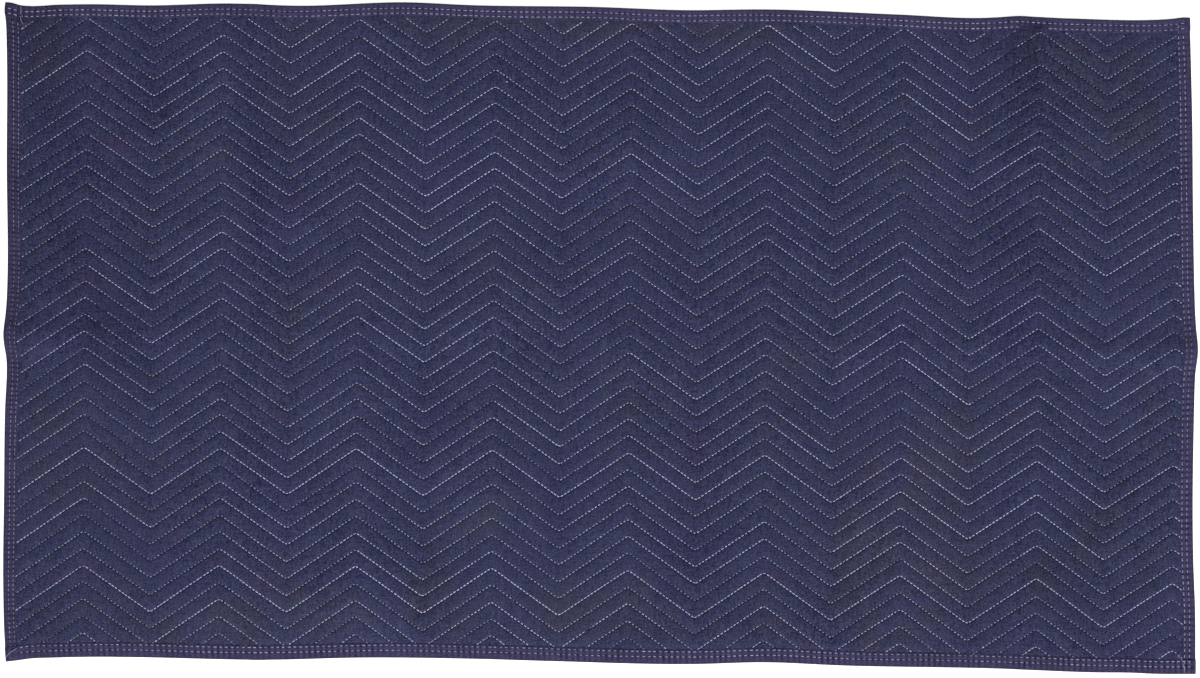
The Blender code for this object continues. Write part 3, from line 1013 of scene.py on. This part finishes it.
def strip_point(side, at, depth):
    """The flat point at a place along a side, a distance in from its rim."""
    if side in ("top", "bottom"):
        return at, (WIDTH / 2 - depth if side == "top" else depth - WIDTH / 2)
    return (depth - LENGTH / 2 if side == "left" else LENGTH / 2 - depth), at


print("needle holes:", {side: len(places) for side, places in HOLES.items()})

# %% Cross-section of the folded tape
FACE_STEPS = 13
UNDER_SHARES = (0.35, 0.7, 1.0)


def tape_section(side, at, reach, low, high):
    """Depths and heights round the tape at each place along it: one column a point."""
    middle, radius = (low + high) / 2, (high - low) / 2
    flat_run = reach - radius
    columns = []
    shares = np.linspace(1.0, 0.0, FACE_STEPS)
    for share in shares[:-1]:
        depth = radius + flat_run * share
        columns.append((depth, high + tape_relief(side, at, depth)))
    for turn in (90, 112, 135, 158, 180, 205, 235, 270):
        angle = math.radians(turn)
        depth = radius * (1 + math.cos(angle))
        height = middle + radius * math.sin(angle)
        columns.append((depth, height + tape_relief(side, at, depth) * max(math.sin(angle), 0)))
    for share in UNDER_SHARES:
        columns.append((radius + flat_run * share, low))
    columns.append((reach, low + TAPE))
    columns.append((radius, low + TAPE))
    columns.append((TAPE + 0 * at, middle))
    columns.append((radius, high - TAPE - GROOVE))
    columns.append((radius + flat_run * 0.6, high - TAPE - GROOVE))
    columns.append((reach, high - TAPE - 0.0001))
    depths = np.stack([np.broadcast_to(depth, at.shape) for depth, _ in columns], axis=1)
    heights = np.stack([np.broadcast_to(height, at.shape) for _, height in columns], axis=1)
    return depths, heights


print("points round the tape:", FACE_STEPS - 1 + 8 + len(UNDER_SHARES) + 6)

# %% Sweep the four strips
# How far in from the rim the tape's painted rim shade reaches.
RIM_SHADE_REACH = 0.0042


def make_strip(strip):
    side, half = strip.side, half_run(strip.side)
    end = half if side in ("top", "bottom") else half - FOLD_ROOM
    at = np.linspace(-end, end, int(2 * end / STATION) + 1)
    reach = reach_of(side, at)
    long_hold, short_hold = holds(*strip_point(side, at, reach / 2))
    if side in ("top", "bottom"):
        low, high = 0.0 * at, BOUND + short_hold * (BOUND_CORNER - BOUND)
    else:
        low, high = LAYER * long_hold, BOUND + 0.0 * at
    depths, heights = tape_section(side, at, reach, low, high)
    along = np.broadcast_to(at[:, None], depths.shape)
    u, v = strip_point(side, along, depths)
    x, y = lay(u, v)
    points = np.stack([x, y, heights + lift(u, v)], axis=-1)
    count = depths.shape[1]
    ring = np.arange(count)
    i = np.arange(len(at) - 1)[:, None] * count
    nxt = (ring + 1) % count
    faces = np.stack([i + ring, i + nxt, i + count + nxt, i + count + ring], -1).reshape(-1, 4).tolist()
    faces += [ring[::-1].tolist(), (ring + (len(at) - 1) * count).tolist()]
    if side in ("bottom", "right"):
        faces = [face[::-1] for face in faces]
    mesh = bpy.data.meshes.new(strip.name + "_tape")
    mesh.from_pydata(points.reshape(-1, 3).tolist(), [], faces)
    # Painted light and shade: each pucker is lighter on its crest and darker in the valley at its holes,
    # and the grooves along both rows of stitching are darker; the patches and the darker left tape come
    # after.
    pull = strip.pucker / 0.0004
    light = 0.34 * pull * pucker_wave(side, along) * pucker_share(side, along, depths)
    light = light - 0.18 * groove_share(side, along, depths)
    light = light + summed_patches(PATCHES, "light", u, v)
    if side == "left":
        light = light - LEFT_TAPE_DARK
    keep_on_mesh(mesh, "light", light)
    # Painted shade: the tape darkens towards its rounded rim.
    keep_on_mesh(mesh, "rim", np.clip(1 - depths / RIM_SHADE_REACH, 0, 1))
    return add_piece(strip.name + "_tape", mesh)


tapes = {strip.side: make_strip(strip) for strip in STRIPS}
for tape in tapes.values():
    print(tape.name, len(tape.data.polygons), "faces")

# %% [markdown]
# The tape's thread follows the same holes. On the right side the rows were sewn last and run
# on over the corners, and elsewhere the long strips cover the ends of the short rows. A few
# thread ends were never trimmed: each is drawn as a short chain of stitches along a curve.

# %% Sew the tape on
TAPE_HOLE_SIZE = 0.0012
ROW_ENDS = {
    ("top", "outer"): (-0.911, 0.910),
    ("top", "inner"): (-0.911, 0.910),
    ("bottom", "outer"): (-0.896, 0.911),
    ("bottom", "inner"): (-0.893, 0.911),
    ("left", "outer"): (-0.484, 0.484),
    ("left", "inner"): (-0.484, 0.484),
    ("right", "outer"): (-0.492, 0.484),
    ("right", "inner"): (-0.502, 0.502),
}
LOOSE_ENDS = {
    "left": (
        ((-0.8912, 0.5105), (-0.8912, 0.5050), (-0.8910, 0.4990)),
        ((-0.8919, 0.4952), (-0.8912, 0.4910), (-0.8900, 0.4870), (-0.8880, 0.4835)),
    ),
    "bottom": (
        (
            (-0.9138, -0.4915),
            (-0.9108, -0.4872),
            (-0.9077, -0.4838),
            (-0.9030, -0.4810),
            (-0.8975, -0.4772),
        ),
    ),
    "right": (
        ((0.8888, -0.4890), (0.8922, -0.4912), (0.8944, -0.4936), (0.8960, -0.4968)),
        ((0.8976, -0.5015), (0.8988, -0.5060), (0.8994, -0.5105), (0.9004, -0.5150)),
    ),
}


def tape_height(side, at, depth):
    """The height of the sewn face over a side's strip, or over the strip that crosses it."""
    u, v = strip_point(side, at, depth)
    long_hold, short_hold = holds(u, v)
    crossing = (short_hold if side in ("top", "bottom") else long_hold) > 0.99
    height = BOUND + crossing * (BOUND_CORNER - BOUND) + lift(u, v)
    bare = crossing & (side in ("left", "right"))
    return height + tape_relief(side, at, depth) * np.where(bare, 0.0, 1.0)


def sew_tape_row(strip, column, rng):
    side = strip.side
    first, last = ROW_ENDS[side, column]
    holes = HOLES[side]
    shown = strip.pitch * strip.share
    holes = holes[(holes > first) & (holes < last - shown)]
    middle = holes + shown / 2
    top = tape_height(side, middle, sewn(side, middle, column)) + 0.0001
    ends = []
    for at in (holes, holes + shown * rng.normal(1.0, 0.07, len(holes))):
        depth = sewn(side, at, column) + 0.0003 * np.sin(at * 31 + len(column))
        u, v = strip_point(side, at, depth)
        x, y = lay(u, v)
        ends.append(np.column_stack([x, y, top]))
    tone = (0.50 if side == "left" else 0.64) + 0.12 * np.sin(holes * 9 + len(side))
    tone = tone + rng.normal(0, 0.12, len(holes))
    width = strip.thread * rng.normal(1.0, 0.08, len(holes))
    keep = shows(u, v)
    return Stitches(ends[0][keep], ends[1][keep], width[keep], np.clip(tone, 0.2, 1.1)[keep])


def loose_end(points):
    """A thread end that lies on the cloth along a smooth curve."""
    points = np.array(points)
    knots = np.arange(len(points))
    fine = np.linspace(0, len(points) - 1, 5 * (len(points) - 1) + 1)
    x, y = (smooth_through(knots, points[:, n], fine) for n in (0, 1))
    line = np.column_stack([x, y, np.full(len(x), BOUND_CORNER + 0.0007)])
    run = np.diff(line, axis=0) * 0.35
    widths = np.full(len(run), 0.0009)
    return Stitches(line[:-1] - run, line[1:] + run, widths, np.full(len(run), 0.85))


def sew_tape(strip, seed):
    rng = np.random.default_rng(seed)
    rows = joined([sew_tape_row(strip, column, rng) for column in ("outer", "inner")])
    # Needle holes, painted dark as shadow.
    holes = needle_holes(rows, TAPE_HOLE_SIZE, -0.8)
    loose = [loose_end(points) for points in LOOSE_ENDS.get(strip.side, ())]
    thread = copies(SPINDLE_POINTS, SPINDLE_FACES, joined([rows] + loose), THREAD_HEIGHT)
    pits = copies(PIT_POINTS, PIT_FACES, holes, TAPE_HOLE_SIZE / 4)
    return stitch_piece(strip.name + "_thread", [thread, pits])


tape_threads = {strip.side: sew_tape(strip, 40 + n) for n, strip in enumerate(STRIPS)}
for thread in tape_threads.values():
    print(thread.name, len(thread.data.polygons), "triangles")

# %% [markdown]
# ## Finishes
#
# Three finishes cover the blanket: the navy quilted cloth, the purple-navy tape and the pale
# thread. All are matte cloth; the cloth and the tape share two node groups. `woven` makes the
# over and under of the threads with their uneven slubs, and `mottling` makes the faint clouds of
# an inexpensive dyed cloth and a field of small wrinkles. A group gives back only values, and
# each material decides what they do to its colour and its bump.


# %% Shared group: woven threads
def new_group(name, inputs, outputs):
    group = bpy.data.node_groups.new(name, "ShaderNodeTree")
    for label, value in inputs:
        socket = group.interface.new_socket(label, in_out="INPUT", socket_type="NodeSocketFloat")
        socket.default_value = value
    for label in outputs:
        group.interface.new_socket(label, in_out="OUTPUT", socket_type="NodeSocketFloat")
    return group, group.nodes.new("NodeGroupInput"), group.nodes.new("NodeGroupOutput")


def math_node(tree, operation, first, second=None, third=None):
    """A Math node fed with sockets or plain numbers. It returns its output socket."""
    node = tree.nodes.new("ShaderNodeMath")
    node.operation = operation
    for socket, value in zip(node.inputs, (first, second, third)):
        if value is None:
            continue
        if isinstance(value, (int, float)):
            socket.default_value = value
        else:
            tree.links.new(value, socket)
    return node.outputs["Value"]


def noise_node(tree, scale, detail, stretch=(1.0, 1.0, 1.0)):
    """Noise over the cloth, in waves to the metre, stretched along x or y for streaks."""
    place = tree.nodes.new("ShaderNodeTexCoord")
    mapping = tree.nodes.new("ShaderNodeMapping")
    mapping.inputs["Scale"].default_value = stretch
    noise = tree.nodes.new("ShaderNodeTexNoise")
    noise.inputs["Scale"].default_value = scale
    noise.inputs["Detail"].default_value = detail
    tree.links.new(place.outputs["Object"], mapping.inputs["Vector"])
    tree.links.new(mapping.outputs["Vector"], noise.inputs["Vector"])
    return noise.outputs["Fac"]


def make_woven_group():
    inputs = [("Threads per Metre", 900.0), ("Slubs", 1.0), ("Grain", 1.0)]
    group, given, result = new_group("woven", inputs, ["Shade", "Height"])
    place = group.nodes.new("ShaderNodeTexCoord")
    split = group.nodes.new("ShaderNodeSeparateXYZ")
    group.links.new(place.outputs["Object"], split.inputs["Vector"])
    wobble = noise_node(group, 60.0, 2.0)
    turns = math_node(group, "MULTIPLY", given.outputs["Threads per Metre"], math.pi)
    waves = []
    for axis in ("X", "Y"):
        bent = math_node(group, "MULTIPLY_ADD", wobble, 0.0015, split.outputs[axis])
        waves.append(math_node(group, "SINE", math_node(group, "MULTIPLY", bent, turns)))
    over = math_node(group, "MULTIPLY", waves[0], waves[1])
    warp_slubs = noise_node(group, 62.0, 3.0, (5.0, 1.0, 1.0))
    weft_slubs = noise_node(group, 60.0, 3.0, (1.0, 5.0, 1.0))
    slubs = math_node(group, "MULTIPLY", weft_slubs, 0.4)
    slubs = math_node(group, "MULTIPLY_ADD", warp_slubs, 0.6, slubs)
    slubs = math_node(group, "SUBTRACT", slubs, 0.5)
    streaks = math_node(group, "MULTIPLY", slubs, given.outputs["Slubs"])
    speck = math_node(group, "SUBTRACT", noise_node(group, 480.0, 3.0), 0.5)
    speck = math_node(group, "MULTIPLY", speck, given.outputs["Grain"])
    shade = math_node(group, "MULTIPLY_ADD", over, 0.06, 1.0)
    shade = math_node(group, "MULTIPLY_ADD", streaks, 2.2, shade)
    shade = math_node(group, "MULTIPLY_ADD", speck, 2.2, shade)
    shade = math_node(group, "MAXIMUM", shade, 0.35)
    height = math_node(group, "MULTIPLY_ADD", over, 0.35, math_node(group, "MULTIPLY", streaks, 1.5))
    height = math_node(group, "ADD", height, speck)
    group.links.new(shade, result.inputs["Shade"])
    group.links.new(height, result.inputs["Height"])
    return group


woven_group = make_woven_group()
print("group", woven_group.name, len(woven_group.nodes), "nodes")


# %% Shared group: the faint clouds of the dye, and wrinkles that the cloth uses for bump and painted shade
def make_mottling_group():
    labels = ["Cloud", "Patch", "Wrinkle", "Tint"]
    group, given, result = new_group("mottling", [("Amount", 1.0)], labels)
    broad = noise_node(group, 5.0, 3.0)
    middle = noise_node(group, 23.0, 3.0)
    cloud = math_node(group, "MULTIPLY_ADD", broad, 0.65, math_node(group, "MULTIPLY", middle, 0.35))
    fields = {
        "Cloud": cloud,
        "Patch": noise_node(group, 11.0, 4.0),
        "Wrinkle": noise_node(group, 45.0, 2.0),
        "Tint": noise_node(group, 33.0, 4.0, (1.0, 1.35, 1.0)),
    }
    for label, field in fields.items():
        centred = math_node(group, "SUBTRACT", field, 0.5)
        scaled = math_node(group, "MULTIPLY", centred, given.outputs["Amount"])
        group.links.new(scaled, result.inputs[label])
    return group


mottling_group = make_mottling_group()
print("group", mottling_group.name, len(mottling_group.nodes), "nodes")


# %% Helpers for the materials
def new_finish(name, roughness, sheen):
    finish = bpy.data.materials.new(name)
    finish.use_nodes = True
    shader = finish.node_tree.nodes["Principled BSDF"]
    shader.inputs["Roughness"].default_value = roughness
    shader.inputs["Specular IOR Level"].default_value = 0.1
    shader.inputs["Sheen Weight"].default_value = sheen
    shader.inputs["Sheen Roughness"].default_value = 0.6
    return finish, finish.node_tree, shader


def use_group(tree, group, **values):
    node = tree.nodes.new("ShaderNodeGroup")
    node.node_tree = group
    for label, value in values.items():
        node.inputs[label.replace("_", " ")].default_value = value
    return node


def blend_colours(tree, factor, first, second):
    """Mixes two colours, each a colour or a socket, by a factor socket."""
    node = tree.nodes.new("ShaderNodeMix")
    node.data_type = "RGBA"
    tree.links.new(factor, node.inputs["Factor"])
    for socket, value in ((node.inputs["A"], first), (node.inputs["B"], second)):
        if isinstance(value, tuple):
            socket.default_value = (*value, 1.0)
        else:
            tree.links.new(value, socket)
    return node.outputs["Result"]


GRAIN_GREY = (0.0285, 0.0295, 0.0480)


def shaded(tree, colour, shade):
    """A colour made lighter or darker by a value near 1."""
    node = tree.nodes.new("ShaderNodeVectorMath")
    node.operation = "SCALE"
    tree.links.new(colour, node.inputs["Vector"])
    tree.links.new(shade, node.inputs["Scale"])
    return node.outputs["Vector"]


def grained(tree, colour, shade):
    """A colour with a value's grain, which is greyer than the colour itself."""
    node = tree.nodes.new("ShaderNodeVectorMath")
    node.operation = "MULTIPLY_ADD"
    node.inputs[0].default_value = GRAIN_GREY
    tree.links.new(math_node(tree, "SUBTRACT", shade, 1.0), node.inputs[1])
    tree.links.new(colour, node.inputs[2])
    return node.outputs["Vector"]


def add_bump(tree, shader, height, distance):
    bump = tree.nodes.new("ShaderNodeBump")
    bump.inputs["Distance"].default_value = distance
    bump.inputs["Strength"].default_value = 1.0
    tree.links.new(height, bump.inputs["Height"])
    tree.links.new(bump.outputs["Normal"], shader.inputs["Normal"])


def ramp(tree, value, low, high):
    """0 at one value and 1 at another, smoothly between."""
    node = tree.nodes.new("ShaderNodeMapRange")
    node.interpolation_type = "SMOOTHSTEP"
    node.inputs["From Min"].default_value = low
    node.inputs["From Max"].default_value = high
    tree.links.new(value, node.inputs["Value"])
    return node.outputs["Result"]


def kept(tree, name):
    """A number that the mesh keeps at each point."""
    node = tree.nodes.new("ShaderNodeAttribute")
    node.attribute_name = name
    return node.outputs["Fac"]


print("helpers ready")

# %% Navy quilted cloth
NAVY = (0.0281, 0.0300, 0.0750)
NAVY_OLIVE = (0.0305, 0.0315, 0.0600)
NAVY_VIOLET = (0.0282, 0.0282, 0.0790)
TEAL = (0.0235, 0.0335, 0.0735)
ROSE = (0.0390, 0.0285, 0.0690)


def make_quilt_finish():
    finish, tree, shader = new_finish("navy_quilted_cloth", 0.95, 0.03)
    weave = use_group(tree, woven_group, Threads_per_Metre=850.0, Slubs=0.9, Grain=2.1)
    clouds = use_group(tree, mottling_group, Amount=1.0)
    olive = math_node(tree, "MULTIPLY_ADD", clouds.outputs["Cloud"], 4.5, kept(tree, "olive"))
    colour = blend_colours(tree, ramp(tree, olive, 0.0, 1.1), NAVY, NAVY_OLIVE)
    colour = blend_colours(tree, ramp(tree, olive, 0.0, -1.1), colour, NAVY_VIOLET)
    colour = blend_colours(tree, ramp(tree, clouds.outputs["Tint"], 0.03, 0.38), colour, TEAL)
    rose = ramp(tree, clouds.outputs["Tint"], -0.03, -0.38)
    rose = math_node(tree, "MULTIPLY_ADD", rose, 0.9, kept(tree, "rose"))
    colour = blend_colours(tree, rose, colour, ROSE)
    # The kept `light` holds the patches, painted shade and light among them, and the painted lighter
    # band beside the bottom tape.
    shade = math_node(tree, "MULTIPLY_ADD", clouds.outputs["Patch"], 0.40, kept(tree, "light"))
    # Painted shade: the cloth is darker in the hollows of the wrinkles that the same field raises in the
    # bump below.
    shade = math_node(tree, "MULTIPLY_ADD", clouds.outputs["Wrinkle"], 0.12, shade)
    shade = math_node(tree, "ADD", shade, 1.0)
    colour = grained(tree, shaded(tree, colour, shade), weave.outputs["Shade"])
    tree.links.new(colour, shader.inputs["Base Color"])
    height = math_node(tree, "MULTIPLY_ADD", clouds.outputs["Wrinkle"], 2.5, weave.outputs["Height"])
    add_bump(tree, shader, height, 0.0003)
    return finish


quilt_finish = make_quilt_finish()
print(quilt_finish.name)

# %% Purple-navy binding tape
TAPE_PURPLE = (0.0400, 0.0365, 0.0880)
# Painted shade of the tape's rounded rim.
TAPE_RIM_SHADE = (0.0215, 0.0200, 0.0330)


def make_tape_finish():
    finish, tree, shader = new_finish("purple_navy_tape", 0.9, 0.02)
    weave = use_group(tree, woven_group, Threads_per_Metre=1100.0, Slubs=0.8, Grain=1.5)
    clouds = use_group(tree, mottling_group, Amount=1.0)
    # Painted shade: the tape darkens towards its rounded rim.
    rim = ramp(tree, kept(tree, "rim"), 0.0, 1.3)
    colour = blend_colours(tree, rim, TAPE_PURPLE, TAPE_RIM_SHADE)
    shade = math_node(tree, "MULTIPLY_ADD", clouds.outputs["Patch"], 0.5, kept(tree, "light"))
    shade = math_node(tree, "ADD", shade, 1.0)
    colour = grained(tree, shaded(tree, colour, shade), weave.outputs["Shade"])
    tree.links.new(colour, shader.inputs["Base Color"])
    add_bump(tree, shader, weave.outputs["Height"], 0.0003)
    return finish


tape_finish = make_tape_finish()
print(tape_finish.name)

# %% Pale thread
THREAD_PALE = (0.640, 0.650, 0.930)
# Painted shade: the quilting thread on a slack stitch.
THREAD_SHADED = (0.090, 0.091, 0.170)
TAPE_THREAD_PALE = (0.370, 0.345, 0.540)
TAPE_THREAD_SLACK = (0.090, 0.080, 0.150)
# Painted shadow in and round a needle hole.
HOLE_SHADOW = (0.0060, 0.0062, 0.0240)


def make_thread_finish(name, pale, slack):
    finish, tree, shader = new_finish(name, 0.8, 0.0)
    tone = kept(tree, "tone")
    # A low tone paints the thread darker: on the quilting thread, painted shade on slack stitches.
    colour = blend_colours(tree, ramp(tree, tone, 0.0, 1.2), slack, pale)
    twist = noise_node(tree, 900.0, 2.0)
    colour = shaded(tree, colour, math_node(tree, "MULTIPLY_ADD", twist, 0.5, 0.75))
    # A tone below zero paints the pit as shadow.
    colour = blend_colours(tree, ramp(tree, tone, -0.1, -0.3), colour, HOLE_SHADOW)
    tree.links.new(colour, shader.inputs["Base Color"])
    add_bump(tree, shader, twist, 0.0002)
    return finish


quilting_thread_finish = make_thread_finish("pale_quilting_thread", THREAD_PALE, THREAD_SHADED)
tape_thread_finish = make_thread_finish("lavender_tape_thread", TAPE_THREAD_PALE, TAPE_THREAD_SLACK)
print(quilting_thread_finish.name, tape_thread_finish.name)

# %% [markdown]
# ## Putting it together
#
# Each piece takes its finish, rides on the frame's one body and replaces the solid that stood
# for it.


def finish_piece(piece, finish):
    piece.data.materials.append(finish)
    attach(piece, "root")


finish_piece(panel, quilt_finish)
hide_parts("quilted_panel")
for thread in (upper_thread, lower_thread, back_thread):
    finish_piece(thread, quilting_thread_finish)
for strip in STRIPS:
    finish_piece(tapes[strip.side], tape_finish)
    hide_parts(strip.name)
    finish_piece(tape_threads[strip.side], tape_thread_finish)
